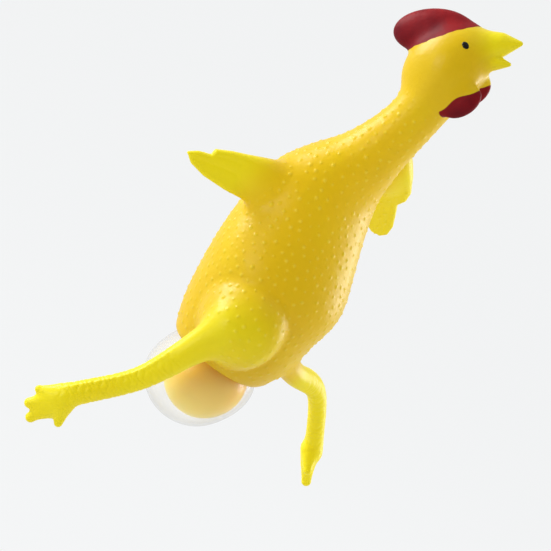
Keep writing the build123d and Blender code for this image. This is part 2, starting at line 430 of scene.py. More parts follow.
# Along the wing from its hinge, and across it towards its leading edge.
WING_OUTLINE = {
    "right": [(-12.0, -7.0), (-12.0, 7.0), (0.0, 6.8), (7.0, 5.9), (13.0, 4.7), (18.6, 3.0), (19.4, 0.9),
              (23.5, 0.3), (27.2, -1.7), (24.0, -4.7), (18.5, -6.8), (10.0, -8.2), (0.0, -8.8)],
    "left": [(-12.0, -7.0), (-12.0, 8.0), (0.0, 9.0), (8.0, 8.8), (12.0, 7.2), (14.0, 4.4), (20.0, 3.9),
             (26.0, 3.2), (30.0, 1.4), (31.0, -1.4), (28.5, -4.6), (23.0, -7.0), (13.0, -7.8), (0.0, -7.6)],
}
WING_THICK = ((-12, 4.6), (-4, 4.0), (3, 2.9), (12, 1.9), (28, 1.1))      # half thickness along the wing
WING_ROUND = 0.85              # share of the half thickness that the edge is rounded by
UPPER_ARM, UPPER_ARM_AT = np.array((9.0, 6.0, 4.2)), np.array((-3.0, 0.5, 0.0))


def wing_axes(side):
    """Along, across and through the wing, as columns."""
    chord = axis("wing_flap_" + side)
    along = unit(pivot("wing_tip_flex_" + side) - pivot("wing_flap_" + side))
    return np.array([along, chord, np.cross(along, chord)]).T


def wing(p, side):
    q = (p - pivot("wing_flap_" + side)) @ wing_axes(side)
    half = np.interp(q[..., 0], *np.array(WING_THICK).T)
    edge = half * WING_ROUND
    flat = polygon_distance(q[..., 0], q[..., 1], WING_OUTLINE[side]) + edge
    through = np.abs(q[..., 2]) - half + edge
    outside = np.sqrt(np.maximum(flat, 0) ** 2 + np.maximum(through, 0) ** 2)
    return outside + np.minimum(np.maximum(flat, through), 0) - edge


def wing_parts():
    for side in SIDES:
        middle = pivot("wing_flap_" + side)
        yield (lambda p, s=side: wing(p, s)), middle, 33, 5.0
        axes = wing_axes(side)
        upper_arm = middle + axes @ UPPER_ARM_AT
        yield (lambda p, at=upper_arm, a=axes: ellipsoid(p, at, UPPER_ARM, a)), upper_arm, 14, 4.0


# ---------------------------------------------------------------- the skin as one surface

PARTS = [(trunk, np.array((0, 0, 24.0)), 90, 1.0), *leg_parts(), *wing_parts(), *head_parts()]
FAR = 50.0


def skin(p):
    """The skin's field at points: negative inside, about a distance near the surface."""
    field = np.full(len(p), FAR)
    for form, middle, reach, blend in PARTS:
        near = np.where(((p - middle) ** 2).sum(-1) < (reach + 4) ** 2)[0]
        if len(near):
            field[near] = smooth_min(field[near], form(p[near]), blend)
    return field


def sample(low, high, step):
    """The field on a grid of points."""
    counts = np.ceil((high - low) / step).astype(int) + 1
    axes = [low[i] + step * np.arange(counts[i]) for i in range(3)]
    field = np.empty(counts, np.float32)
    for i in range(counts[0]):
        y, z = np.meshgrid(axes[1], axes[2], indexing="ij")
        p = np.stack([np.full(y.size, axes[0][i]), y.ravel(), z.ravel()], -1)
        field[i] = skin(p).reshape(y.shape)
    return field


def surface_nets(field, low, step):
    """Vertices and quads of the surface where the field is zero."""
    inside = field < 0
    cells = np.zeros(np.array(field.shape) - 1, int)
    corners = [(i, j, k) for i in (0, 1) for j in (0, 1) for k in (0, 1)]

    def part(grid, shift):
        return grid[tuple(slice(s, n - 1 + s) for s, n in zip(shift, grid.shape))]

    for o in corners:
        cells += part(inside, o)
    index = np.full(cells.shape, -1)
    where = np.nonzero((cells > 0) & (cells < 8))
    index[where] = np.arange(len(where[0]))
    base = np.stack(where, -1).astype(float)
    total, count = np.zeros_like(base), np.zeros(len(base))
    for a in corners:
        for axis_no in range(3):
            if a[axis_no]:
                continue
            b = tuple(1 if n == axis_no else v for n, v in enumerate(a))
            fa, fb = part(field, a)[where], part(field, b)[where]
            crossing = (fa < 0) != (fb < 0)
            t = np.where(crossing, fa / np.where(fa == fb, 1, fa - fb), 0)
            point = base + np.array(a)
            point[:, axis_no] += t
            total += point * crossing[:, None]
            count += crossing
    vertices = low + step * total / count[:, None]
    quads = []
    for axis_no in range(3):
        u, v = (axis_no + 1) % 3, (axis_no + 2) % 3
        first = np.take(inside, range(field.shape[axis_no] - 1), axis_no)
        second = np.take(inside, range(1, field.shape[axis_no]), axis_no)
        edges = np.stack(np.nonzero(first != second), -1)
        leaving = first[tuple(edges.T)]
        ring = []
        for du, dv in ((-1, -1), (0, -1), (0, 0), (-1, 0)):
            cell = edges.copy()
            cell[:, u] += du
            cell[:, v] += dv
            ring.append(index[tuple(cell.T)])
        quad = np.stack(ring, -1)
        quad[~leaving] = quad[~leaving][:, ::-1]
        quads.append(quad)
    return vertices, np.concatenate(quads)


def slope(p, field=skin, h=0.05):
    """Gradient of a field."""
    total = np.zeros_like(p)
    for s in ((1, 1, 1), (1, -1, -1), (-1, 1, -1), (-1, -1, 1)):
        total += np.multiply.outer(field(p + np.array(s) * h), np.array(s))
    return total / (4 * h)


def settle(p, rounds, limit=0.6):
    """Points moved onto the surface."""
    for _ in range(rounds):
        g = slope(p)
        step = g * (skin(p) / np.maximum((g * g).sum(-1), 0.05))[:, None]
        size = np.linalg.norm(step, axis=1)
        p = p - step * np.minimum(1, limit / np.maximum(size, 1e-9))[:, None]
    return p


def edges_of(quads):
    pairs = np.concatenate([quads[:, [i, (i + 1) % 4]] for i in range(4)])
    pairs.sort(axis=1)
    return np.unique(pairs, axis=0, return_inverse=True)


def relax(p, quads, share=0.5):
    """Points moved towards the middle of their neighbours."""
    pairs, _ = edges_of(quads)
    total, count = np.zeros_like(p), np.zeros(len(p))
    for a, b in ((0, 1), (1, 0)):
        np.add.at(total, pairs[:, a], p[pairs[:, b]])
        np.add.at(count, pairs[:, a], 1)
    return p + (total / np.maximum(count, 1)[:, None] - p) * share


def subdivide(p, quads):
    pairs, inverse = edges_of(quads)
    n, m = len(p), len(pairs)
    inverse = inverse.reshape(4, -1).T
    middles = (p[pairs[:, 0]] + p[pairs[:, 1]]) / 2
    centres = p[quads].mean(1)
    centre = n + m + np.arange(len(quads))
    out = [np.stack([quads[:, i], n + inverse[:, i], centre, n + inverse[:, i - 1]], -1) for i in range(4)]
    return np.concatenate([p, middles, centres]), np.concatenate(out)


GRID_STEP = 0.8
GRID_MARGIN = 4


def make_skin(step):
    low = np.array(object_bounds()[0]) / MM - GRID_MARGIN
    high = np.array(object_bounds()[1]) / MM + GRID_MARGIN
    p, quads = surface_nets(sample(low, high, step), low, step)
    for _ in range(2):
        p = settle(relax(p, quads), 1)
    p, quads = subdivide(p, quads)
    p = settle(relax(p, quads, 0.3), 2)
    return p, quads


# ---------------------------------------------------------------- where the skin flexes


def ease(t):
    t = np.clip(t, 0, 1)
    return t * t * (3 - 2 * t)


def fade(t, start, over):
    """From 1 to 0 as t passes start and goes on over a stretch."""
    return 1 - ease((t - start) / over)


def run_of(p, path):
    """How far along a path each point lies, and how far from it."""
    best, run, done = np.full(len(p), 1e9), np.zeros(len(p)), 0.0
    for a, b in zip(path[:-1, :3], path[1:, :3]):
        length = np.linalg.norm(b - a)
        t = np.clip((p - a) @ (b - a) / length ** 2, 0, 1)
        away = np.linalg.norm(p - a - np.multiply.outer(t, b - a), axis=1)
        closer = away < best
        best = np.where(closer, away, best)
        run = np.where(closer, done + t * length, run)
        done += length
    return run, best


NECK_ROOT, NECK_MID = pivot("neck_bend"), pivot("neck_sway")
NECK_ZONE, SWAY_ZONE, NOD_ZONE = (-8.0, 8.2), (-7.2, 7.6), (-4.5, 3.5)
HIP_ZONE, KNEE_ZONE, ANKLE_ZONE = (-2.0, 9.5), (-8.0, 8.0), (-7.0, 6.0)
HIP_REACH = (7.5, 12.0)        # from a leg's middle line, where the skin starts and stops being its root
FLAP_ZONE, TIP_ZONE = (0.5, 7.0), (-5.0, 5.0)
WING_BEND = float(np.linalg.norm(pivot("wing_tip_flex_right") - pivot("wing_flap_right")))
SHOULDER_REACH = (0.5, 3.5)    # from the trunk, where a wing starts to move and moves fully
NOD_LEAN = 20.0                # degrees that the head's flex is tipped forward


def share(t, zone):
    return ease((t - zone[0]) / (zone[1] - zone[0]))


def flex_map(p):
    """Name, two bodies, place and share of the second body, for each flexing stretch of skin."""
    stretches = []
    trunk_away = trunk(p)
    claimed = np.zeros(len(p), bool)

    for side in SIDES:
        q = (p - pivot("wing_flap_" + side)) @ wing_axes(side)
        near = (np.abs(q[:, 2]) < 7) & (np.abs(q[:, 1]) < 12) & (trunk_away > SHOULDER_REACH[0])
        cut = (FLAP_ZONE[1] + WING_BEND + TIP_ZONE[0]) / 2
        flap = share(q[:, 0], FLAP_ZONE) * share(trunk_away, SHOULDER_REACH)
        root = near & (q[:, 0] > FLAP_ZONE[0]) & (q[:, 0] <= cut)
        tip = near & (q[:, 0] > cut)
        claimed |= root | tip
        stretches.append((f"wing_{side}", "torso", f"wing_{side}", root, flap))
        stretches.append((f"wing_tip_{side}", f"wing_{side}", f"wing_tip_{side}", tip,
                          share(q[:, 0] - WING_BEND, TIP_ZONE)))

    for side in SIDES:
        path = leg_path(side)
        pivots = np.array([pivot(name + side) for name in ("leg_swing_", "shank_flex_", "foot_flex_")])
        hip, knee, ankle = run_of(pivots, path)[0]
        run, away = run_of(p, path)
        past_ankle = (p - pivots[2]) @ foot_axes(side)[:, 0] > 0
        near = (away < HIP_REACH[1]) | past_ankle & (away < 25)
        leg_cut = (hip + HIP_ZONE[1] + knee + KNEE_ZONE[0]) / 2
        foot_cut = (knee + KNEE_ZONE[1] + ankle + ANKLE_ZONE[0]) / 2
        on_leg = near & (run > hip + HIP_ZONE[0]) & ~claimed
        swing = share(run - hip, HIP_ZONE) * (1 - share(away, HIP_REACH))
        claimed |= on_leg
        leg, foot = on_leg & (run <= leg_cut), on_leg & (run > foot_cut)
        shank = on_leg & ~leg & ~foot
        bend, flex = share(run - knee, KNEE_ZONE), share(run - ankle, ANKLE_ZONE)
        stretches.append((f"leg_{side}", "torso", f"leg_{side}", leg, swing))
        stretches.append((f"shank_{side}", f"leg_{side}", f"shank_{side}", shank, bend))
        stretches.append((f"foot_{side}", f"shank_{side}", f"foot_{side}", foot, flex))

    up_neck = (p - NECK_ROOT) @ unit(NECK_MID - NECK_ROOT)
    up_mid = (p - NECK_MID) @ unit(NAPE - NECK_ROOT)
    lean = math.radians(NOD_LEAN)
    up_head = (p - NAPE) @ (HEAD_FRAME @ (math.sin(lean), 0, math.cos(lean)))
    low_cut = (NECK_ZONE[1] + np.linalg.norm(NECK_MID - NECK_ROOT) + SWAY_ZONE[0]) / 2
    bend = share(up_neck, NECK_ZONE) * ease((wing(p, "left") - 0.5) / 7)
    neck = ~claimed & (up_neck > NECK_ZONE[0])
    lower = neck & (up_neck <= low_cut)
    head = neck & ~lower & (up_mid > SWAY_ZONE[1] + 0.5)
    upper = neck & ~lower & ~head
    stretches.append(("neck_lower", "torso", "neck_lower", lower, bend))
    stretches.append(("neck_upper", "neck_lower", "neck_upper", upper, share(up_mid, SWAY_ZONE)))
    stretches.append(("head", "neck_upper", "head", head, share(up_head, NOD_ZONE)))
    return stretches


# ---------------------------------------------------------------- relief moulded in the skin

random = np.random.default_rng(7)
DOT_SPACING, DOT_R, DOT_HEIGHT = 2.8, 0.72, 0.28
# Where the dots start to fade, and over how far: away from the torso, up the neck, away from a thigh.
TRUNK_DOTS_FADE, NECK_DOTS_FADE, THIGH_DOTS_FADE = (0.6, 2.5), (66, 14), (0.8, 2)
SCALE_PITCH, SCALE_HEIGHT = 1.9, 0.20
LEG_TOP = np.array((-0.6, 0, 0.8))      # the side of a leg that a ridge runs along
RIDGE_AT, RIDGE_HALF, RIDGE_HEIGHT = 0.62, 0.16, 0.38
GROOVES, GROOVE_DEPTH, GROOVE_HALF = (3.0, -1.5), 0.14, 0.7
WING_DOTS = 0.8                # chance of dots on a wing's inner face


def scattered(p, chance, spacing):
    """Points picked at random, no two nearer than spacing, more often where chance is high."""
    order = random.permutation(len(p))
    order = order[random.random(len(p)) < chance[order]]
    taken, picked = {}, []
    for i in order:
        cell = tuple((p[i] // spacing).astype(int))
        near = (taken.get((cell[0] + a, cell[1] + b, cell[2] + c))
                for a in (-1, 0, 1) for b in (-1, 0, 1) for c in (-1, 0, 1))
        if all(j is None or ((p[i] - p[j]) ** 2).sum() > spacing ** 2 for j in near):
            if cell not in taken:
                taken[cell] = i
                picked.append(i)
    return np.array(picked)


def dots(p, chance):
    """Height from 0 to 1 of raised dots, strewn where chance allows."""
    candidates = np.where(chance > 0.02)[0]
    thinned = candidates[::3]
    picked = thinned[scattered(p[thinned], chance[thinned], DOT_SPACING)]
    tree = kdtree.KDTree(len(picked))
    for n, i in enumerate(picked):
        tree.insert(p[i], n)
    tree.balance()
    size = 0.75 + 0.45 * random.random(len(picked))
    away, which = np.full(len(p), 9.0), np.zeros(len(p), int)
    for i in candidates:
        _, which[i], away[i] = tree.find(p[i])
    near = np.clip(1 - (away / (DOT_R * size[which])) ** 2, 0, 1)
    return near ** 1.5 * np.clip(chance * 1.6, 0, 1) * size[which]


def relief(p, normal):
    """Height of the moulded relief in mm, and how much of it is dots."""
    on_trunk = fade(trunk(p), *TRUNK_DOTS_FADE)
    chance = on_trunk * fade(p[:, 2], *NECK_DOTS_FADE) * ease((p[:, 2] - VENT_Z - 1.5) / 4)
    chance *= ease((hollow(p) - 0.4) / 1.0)
    height = np.zeros(len(p))
    for side in SIDES:
        thigh = ellipsoid(p, THIGH_AT[side], THIGH_RADII)
        chance = np.maximum(chance, fade(np.abs(thigh), *THIGH_DOTS_FADE))
        path = leg_path(side)
        hip, ankle = run_of(np.array([pivot("leg_swing_" + side), pivot("foot_flex_" + side)]), path)[0]
        run, away = run_of(p, path)
        on_leg = ease((run - hip - 2) / 8) * (away < 7.5)
        chance *= 1 - ease((run - hip + 2) / 8) * (away < 9)
        axes = foot_axes(side)
        across = normal @ axes[:, 1]
        lean = 0.6 * np.sin(across * 5 + run * 0.9)
        ring = 1 - np.abs((((run + lean) / SCALE_PITCH) % 1) * 2 - 1) ** 3
        height += on_leg * (1 - ease((run - ankle - 2) / 5) * 0.6) * ring * SCALE_HEIGHT
        upward = np.sign(axes[:, 1] @ LEG_TOP)
        ridge = np.exp(-((across * upward - RIDGE_AT) / RIDGE_HALF) ** 2)
        height += on_leg * (1 - ease((run - ankle + 2) / 6)) * ridge * RIDGE_HEIGHT
        q = (p - pivot("wing_flap_" + side)) @ wing_axes(side)
        on_wing = (wing(p, side) < 1.2) * ease((q[:, 0] - 1) / 3)
        inner = (normal[:, 1] < 0) == (side == "left")
        dotted = inner & (on_wing > 0.5) & (wing(p, side) < 0.4)
        chance = np.where(dotted, WING_DOTS, chance * (1 - on_wing))
        for line in GROOVES:
            curve = line * (1 - q[:, 0] / 60) - q[:, 0] ** 2 / 400
            groove = GROOVE_DEPTH * np.exp(-((q[:, 1] - curve) / GROOVE_HALF) ** 2)
            height -= on_wing * ease((q[:, 0] - 5) / 8) * groove
    spots = dots(p, np.clip(chance, 0, 1))
    return height + spots * DOT_HEIGHT, spots


# ---------------------------------------------------------------- paint

COMB_LINE = ((-15.9, 9.8), (-1.6, 28.4))       # forward and up in the head, where the red begins
COMB_BULGE = -0.5


def head_place(p):
    return (p - NAPE) @ HEAD_FRAME


def comb_paint(p):
    """How far into the red of the comb each point lies, in mm."""
    q = head_place(p)
    start, end = np.array(COMB_LINE[0]), np.array(COMB_LINE[1])
    along = unit(end - start)
    out = np.array((-along[1], along[0]))
    rel = np.stack([q[:, 0], q[:, 2]], -1) - start
    run = rel @ along / np.linalg.norm(end - start)
    bulge = COMB_BULGE * np.sin(np.clip(run, 0, 1) * math.pi) * (0.6 + 0.8 * (1 - run))
    wobble = 0.12 * np.sin(run * 21) + 0.07 * np.sin(run * 47 + 1)
    return rel @ out - bulge + wobble


WATTLE_YELLOW = {"right": 0.0, "left": 1.6}      # how much more of each wattle's top is left unpainted
WATTLE_LINE = (0.438, 0.899)   # forward and up, along the edge of the red on a wattle


def wattle_paint(p):
    """How far into the red of the wattles each point lies, in mm."""
    q, found = head_place(p), np.full(len(p), -9.0)
    for side in SIDES:
        forward, up, _ = WATTLE_AT[side]
        rel = np.stack([q[:, 0] - forward + 0.6, q[:, 2] - up], -1)
        across = rel @ (WATTLE_LINE[1], -WATTLE_LINE[0])
        run = rel @ np.array(WATTLE_LINE)
        own = (q[:, 1] > 0) == (side == "left")
        red = np.minimum(across + 0.5 * np.cos(run * 0.55) - WATTLE_YELLOW[side], 1.1 - wattle(p, side))
        found = np.where(own, red, found)
    return found


# ---------------------------------------------------------------- materials


def material(name):
    made = bpy.data.materials.new(name)
    made.use_nodes = True
    tree = made.node_tree
    return made, tree, tree.nodes["Principled BSDF"]


def node(tree, kind, **values):
    made = tree.nodes.new("ShaderNode" + kind)
    for key, value in values.items():
        if key in made.inputs.keys():
            made.inputs[key].default_value = value
        else:
            setattr(made, key, value)
    return made


def noise(tree, scale, detail=3.0, rough=0.5):
    place = node(tree, "TexCoord")
    made = node(tree, "TexNoise", Scale=scale, Detail=detail, Roughness=rough)
    tree.links.new(place.outputs["Object"], made.inputs["Vector"])
    return made.outputs["Fac"]


def remap(tree, value, low, high, to_low=0.0, to_high=1.0):
    made = tree.nodes.new("ShaderNodeMapRange")
    for name, number in (("From Min", low), ("From Max", high), ("To Min", to_low), ("To Max", to_high)):
        made.inputs[name].default_value = number
    tree.links.new(value, made.inputs["Value"])
    return made.outputs["Result"]


def mixed(tree, factor, a, b):
    made = tree.nodes.new("ShaderNodeMix")
    made.data_type = "RGBA"
    factor_in, a_in, b_in = made.inputs[0], made.inputs[6], made.inputs[7]
    for socket, value in ((factor_in, factor), (a_in, a), (b_in, b)):
        if isinstance(value, bpy.types.NodeSocket):
            tree.links.new(value, socket)
        elif isinstance(value, float):
            socket.default_value = value
        else:
            socket.default_value = (*value, 1)
    return made.outputs[2]


def attribute(tree, name):
    return node(tree, "Attribute", attribute_name=name).outputs["Fac"]


def bump(tree, shader, height, strength, distance):
    made = node(tree, "Bump", Strength=strength, Distance=distance)
    tree.links.new(height, made.inputs["Height"])
    tree.links.new(made.outputs["Normal"], shader.inputs["Normal"])
    return made.outputs["Normal"]


# LEMON and MUSTARD are lit and shaded tones of one yellow rubber: MUSTARD is the painted shade laid on the
# torso and head.
LEMON, MUSTARD, PALE = (0.92, 0.87, 0.006), (0.80, 0.56, 0.002), (0.96, 0.92, 0.10)
RED, RED_DARK = (0.31, 0.010, 0.013), (0.14, 0.005, 0.011)
GLOW_YELLOW, GLOW_RED = (0.95, 0.78, 0.004), (0.4, 0.02, 0.015)
SKIN_GLOW, PAINT_GLOW = 0.33, 0.10      # share of light that comes through the skin, bare and painted
SHEEN_TINT = (1.0, 0.97, 0.40, 1)
# The yolk's tones for its painted light at the bottom and its painted shade at the top.
YOLK_PAINTED_LIGHT, YOLK_PAINTED_SHADE = (0.98, 0.76, 0.15), (0.95, 0.50, 0.02)


def skin_material():
    """Soft moulded rubber, coloured right through, with sprayed red paint where the mask says; the yellow
    is deepened by painted shade on the torso and head, and the red by painted shade low and forward on the
    comb.
    """
    made, tree, shader = material("skin")
    paint = remap(tree, attribute(tree, "paint"), 0.42, 0.58)
    # The yellow goes from LEMON towards MUSTARD by random mottling plus painted shade on the torso and
    # head.
    cloud = node(tree, "Math", operation="ADD")
    tree.links.new(remap(tree, noise(tree, 60), 0.3, 0.7, -0.15, 0.15), cloud.inputs[0])
    tree.links.new(attribute(tree, "painted_depth_shade"), cloud.inputs[1])
    yellow = mixed(tree, cloud.outputs[0], LEMON, MUSTARD)
    yellow = mixed(tree, remap(tree, attribute(tree, "dots"), 0.1, 0.9, 0.0, 0.35), yellow, PALE)
    tree.links.new(yellow, shader.inputs["Base Color"])
    rough = remap(tree, noise(tree, 240), 0.3, 0.7, 0.30, 0.40)
    tree.links.new(rough, shader.inputs["Roughness"])
    shader.inputs["Specular IOR Level"].default_value = 0.34
    shader.inputs["Sheen Weight"].default_value = 0.24
    shader.inputs["Sheen Roughness"].default_value = 0.40
    shader.inputs["Sheen Tint"].default_value = SHEEN_TINT
    grain = node(tree, "Math", operation="ADD")
    tree.links.new(remap(tree, noise(tree, 950, 2.0), 0, 1, 0, 0.35), grain.inputs[0])
    tree.links.new(noise(tree, 300, 2.0), grain.inputs[1])
    normal = bump(tree, shader, grain.outputs[0], 0.2, 0.0007)
    glow = node(tree, "BsdfTranslucent", Color=(*GLOW_YELLOW, 1))
    tree.links.new(normal, glow.inputs["Normal"])
    rubber = shader_mix(tree, SKIN_GLOW, shader, glow)

    coat = node(tree, "BsdfPrincipled", Roughness=0.46)
    red = mixed(tree, remap(tree, noise(tree, 110), 0.35, 0.7), RED, RED_DARK)
    # Painted shade: the red is pulled towards RED_DARK where the painted-shade mask is high.
    red = mixed(tree, attribute(tree, "painted_shade"), red, RED_DARK)
    tree.links.new(red, coat.inputs["Base Color"])
    coat.inputs["Specular IOR Level"].default_value = 0.09
    tree.links.new(normal, coat.inputs["Normal"])
    painted_glow = node(tree, "BsdfTranslucent", Color=(*GLOW_RED, 1))
    painted_part = shader_mix(tree, PAINT_GLOW, coat, painted_glow)
    both = shader_mix(tree, paint, rubber, painted_part)
    tree.links.new(both.outputs[0], tree.nodes["Material Output"].inputs["Surface"])
    return made


def shader_mix(tree, factor, a, b):
    made = node(tree, "MixShader")
    if isinstance(factor, float):
        made.inputs[0].default_value = factor
    else:
        tree.links.new(factor, made.inputs[0])
    tree.links.new(a.outputs[0], made.inputs[1])
    tree.links.new(b.outputs[0], made.inputs[2])
    return made


def yolk_material():
    made, tree, shader = material("yolk")
    place = node(tree, "TexCoord")
    split = tree.nodes.new("ShaderNodeSeparateXYZ")
    tree.links.new(place.outputs["Object"], split.inputs[0])
    # Painted light and shade: the yolk is paler at the bottom and deeper orange at the top, where the body
    # shades it.
    height = remap(tree, split.outputs["Z"], (VENT_Z - 22) * MM, (VENT_Z + 4) * MM)
    cloud = remap(tree, noise(tree, 45), 0.3, 0.7, -0.1, 0.1)
    total = node(tree, "Math", operation="ADD")
    tree.links.new(height, total.inputs[0])
    tree.links.new(cloud, total.inputs[1])
    colour = mixed(tree, total.outputs[0], YOLK_PAINTED_LIGHT, YOLK_PAINTED_SHADE)
    tree.links.new(colour, shader.inputs["Base Color"])
    shader.inputs["Roughness"].default_value = 0.3
    shader.inputs["Subsurface Weight"].default_value = 0.35
    shader.inputs["Subsurface Radius"].default_value = (1.0, 0.5, 0.15)
    shader.inputs["Subsurface Scale"].default_value = 0.006
    bump(tree, shader, noise(tree, 160), 0.08, 0.0006)
    return made


def clear_material(name, tint, thin, thick, rough):
    """Clear film: nearly unseen face on, greyer where it is seen edge on."""
    made, tree, shader = material(name)
    shader.inputs["Base Color"].default_value = (*tint, 1)
    shader.inputs["Roughness"].default_value = rough
    shader.inputs["IOR"].default_value = 1.36
    facing = node(tree, "LayerWeight", Blend=0.32).outputs["Facing"]
    cloud = remap(tree, noise(tree, 70), 0.3, 0.7, 0.8, 1.2)
    alpha = node(tree, "Math", operation="MULTIPLY")
    tree.links.new(remap(tree, facing, 0.25, 1.0, thin, thick), alpha.inputs[0])
    tree.links.new(cloud, alpha.inputs[1])
    tree.links.new(alpha.outputs[0], shader.inputs["Alpha"])
    return made


def eye_material():
    made, tree, shader = material("eye_paint")
    cloud = remap(tree, noise(tree, 900), 0.3, 0.7)
    tone = mixed(tree, cloud, (0.003, 0.003, 0.003), (0.010, 0.007, 0.005))
    tree.links.new(tone, shader.inputs["Base Color"])
    shader.inputs["Roughness"].default_value = 0.25
    shader.inputs["Specular IOR Level"].default_value = 0.2
    bump(tree, shader, noise(tree, 1500), 0.1, 0.0001)
    return made


STAGE_DIM = (0.2, 2.2)         # metres towards the front, where the paper starts and stops to dim
# Light that the paper gives off itself: bright behind the object and dim towards the front.
STAGE_BRIGHT_GLOW, STAGE_DIM_GLOW = (0.85, 0.86, 0.865), (0.36, 0.36, 0.36)


def stage_material():
    """Pale paper that glows with light of its own instead of being lit: evenly bright behind the object and
    dimmer on the side that it faces.
    """
    made, tree, shader = material("stage")
    shader.inputs["Base Color"].default_value = (0.04, 0.04, 0.04, 1)
    shader.inputs["Roughness"].default_value = 0.95
    shader.inputs["Specular IOR Level"].default_value = 0.0
    place = node(tree, "TexCoord")
    side = node(tree, "VectorMath", operation="DOT_PRODUCT")
    side.inputs[1].default_value = view_axes()[2]
    tree.links.new(place.outputs["Object"], side.inputs[0])
    near = remap(tree, side.outputs["Value"], *STAGE_DIM)
    tone = mixed(tree, near, STAGE_BRIGHT_GLOW, STAGE_DIM_GLOW)
    tree.links.new(tone, shader.inputs["Emission Color"])
    shader.inputs["Emission Strength"].default_value = 1.0
    return made


# ---------------------------------------------------------------- meshes


def mesh_piece(name, p, faces, look, normals=None, **values):
    mesh = bpy.data.meshes.new(name)
    mesh.from_pydata((p * MM).tolist(), [], [tuple(map(int, face)) for face in faces])
    mesh.update()
    mesh.polygons.foreach_set("use_smooth", [True] * len(mesh.polygons))
    for key, value in values.items():
        made = mesh.attributes.new(key, "FLOAT", "POINT")
        made.data.foreach_set("value", value.astype(np.float32))
    if normals is not None:
        mesh.normals_split_custom_set_from_vertices(normals.tolist())
    mesh.materials.append(look)
    obj = bpy.data.objects.new(name, mesh)
    bpy.context.scene.collection.objects.link(obj)
    return obj


def vertex_normals(p, quads):
    cross = np.cross(p[quads[:, 2]] - p[quads[:, 0]], p[quads[:, 3]] - p[quads[:, 1]])
    total = np.zeros_like(p)
    for i in range(4):
        np.add.at(total, quads[:, i], cross)
    return total / np.maximum(np.linalg.norm(total, axis=1), 1e-12)[:, None]


def cut_out(name, chosen, look):
    """A piece of the skin: its chosen quads, with the whole skin's normals and paint."""
    used = np.unique(quads[chosen])
    back = np.zeros(len(points), int)
    back[used] = np.arange(len(used))
    fields = {"paint": paint[used], "dots": spots[used], "painted_shade": painted_shade[used], "painted_depth_shade": painted_depth_shade[used]}
    return mesh_piece(name, points[used], back[quads[chosen]], look, normals[used], **fields), used


def lathe(name, profile, look, around=96, centre=(0, 0)):
    """A surface turned about an upright axis from (radius, height) pairs, in mm."""
    turn = np.arange(around) / around * 2 * math.pi
    rings = [np.stack([centre[0] + r * np.cos(turn), centre[1] + r * np.sin(turn), np.full(around, z)], -1)
             for r, z in profile]
    faces = [(i * around + j, i * around + (j + 1) % around,
              (i + 1) * around + (j + 1) % around, (i + 1) * around + j)
             for i in range(len(profile) - 1) for j in range(around)]
    return mesh_piece(name, np.concatenate(rings), np.array(faces), look)


# ---------------------------------------------------------------- the skin's pieces

points, quads = make_skin(GRID_STEP)
normals = slope(points)
normals /= np.linalg.norm(normals, axis=1)[:, None]
height, spots = relief(points, normals)
smooth_points = points
points = points + normals * height[:, None]
normals = vertex_normals(points, quads)

middles = smooth_points[quads].mean(1)
in_comb, in_wattle = comb_paint(smooth_points), wattle_paint(smooth_points)
head_q = head_place(smooth_points)
paint = np.clip(0.5 + np.maximum(in_comb, in_wattle) / 1.2, 0, 1) * (head_q[:, 2] > 0)
# Painted shade on the red paint: darker towards the bottom and the front of the comb, with an even
# darkening forward of the face, on the wattles.
painted_shade = np.clip(0.62 - (head_q[:, 2] - 12) / 18 + (head_q[:, 0] + 18) / 30, 0, 1)
painted_shade = np.where(head_q[:, 0] > 4, 0.35, painted_shade)
# Painted shade: the yellow is made deeper near the torso and the skull, and fades out along the limbs,
# wings and beak.
from_skull = ellipsoid(smooth_points, in_head(-1.0, 15.0), SKULL_RADII)
painted_depth_shade = np.maximum(fade(trunk(smooth_points), 0.5, 12), fade(from_skull, 1, 6))
skin_look = skin_material()
painted = paint[quads].max(1) > 0.02
comb_faces = painted & (comb_paint(middles) > -2)
wattle_faces = painted & ~comb_faces
left_of_head = head_place(middles)[:, 1] > 0

left_over = np.ones(len(quads), bool)
for name, face_set, slot_name, node_name in (
        ("comb", comb_faces, "red_paint", "comb"),
        ("wattle_right", wattle_faces & ~left_of_head, "red_paint", "wattle_right"),
        ("wattle_left", wattle_faces & left_of_head, "red_paint", "wattle_left")):
    piece, _ = cut_out(name + "_skin", np.where(face_set)[0], skin_look)
    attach(piece, "head")
    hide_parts(node_name)
    left_over &= ~face_set

flexes = flex_map(middles)
weights = {name: w for name, _, _, _, w in flex_map(smooth_points)}
STANDS_FOR = {"head": ("head_shell", "upper_beak", "lower_beak")}
for name, body_a, body_b, place, _ in flexes:
    chosen = np.where(place & left_over)[0]
    left_over &= ~place
    piece, used = cut_out(name + "_skin", chosen, skin_look)
    joint = next(j for j in frame["joints"] if {j["parent"], j["child"]} == {body_a, body_b})
    at = Vector(joint["pos_m"])
    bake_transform(piece)
    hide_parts(*STANDS_FOR.get(name, (name,)))

inside = (hollow(middles) < 0.4) & (middles[:, 2] > VENT_Z + 3)
for name, chosen, nodes in (
        ("torso_outer_skin", left_over & ~inside, ("torso_skin", "thigh_right", "thigh_left")),
        ("torso_lining", left_over & inside, ("fluid_fill",))):
    piece, _ = cut_out(name, np.where(chosen)[0], skin_look)
    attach(piece, "torso")
    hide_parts(*nodes)

# ---------------------------------------------------------------- eyes

EYE_HALF = (1.45, 1.0)
EYE_TURN = -18.0               # degrees from forward to the eye's long axis
EYE_DOME, EYE_SINK = 0.42, 0.12
EYE_RINGS, EYE_AROUND = 7, 28
EYE_SETTLES = 12


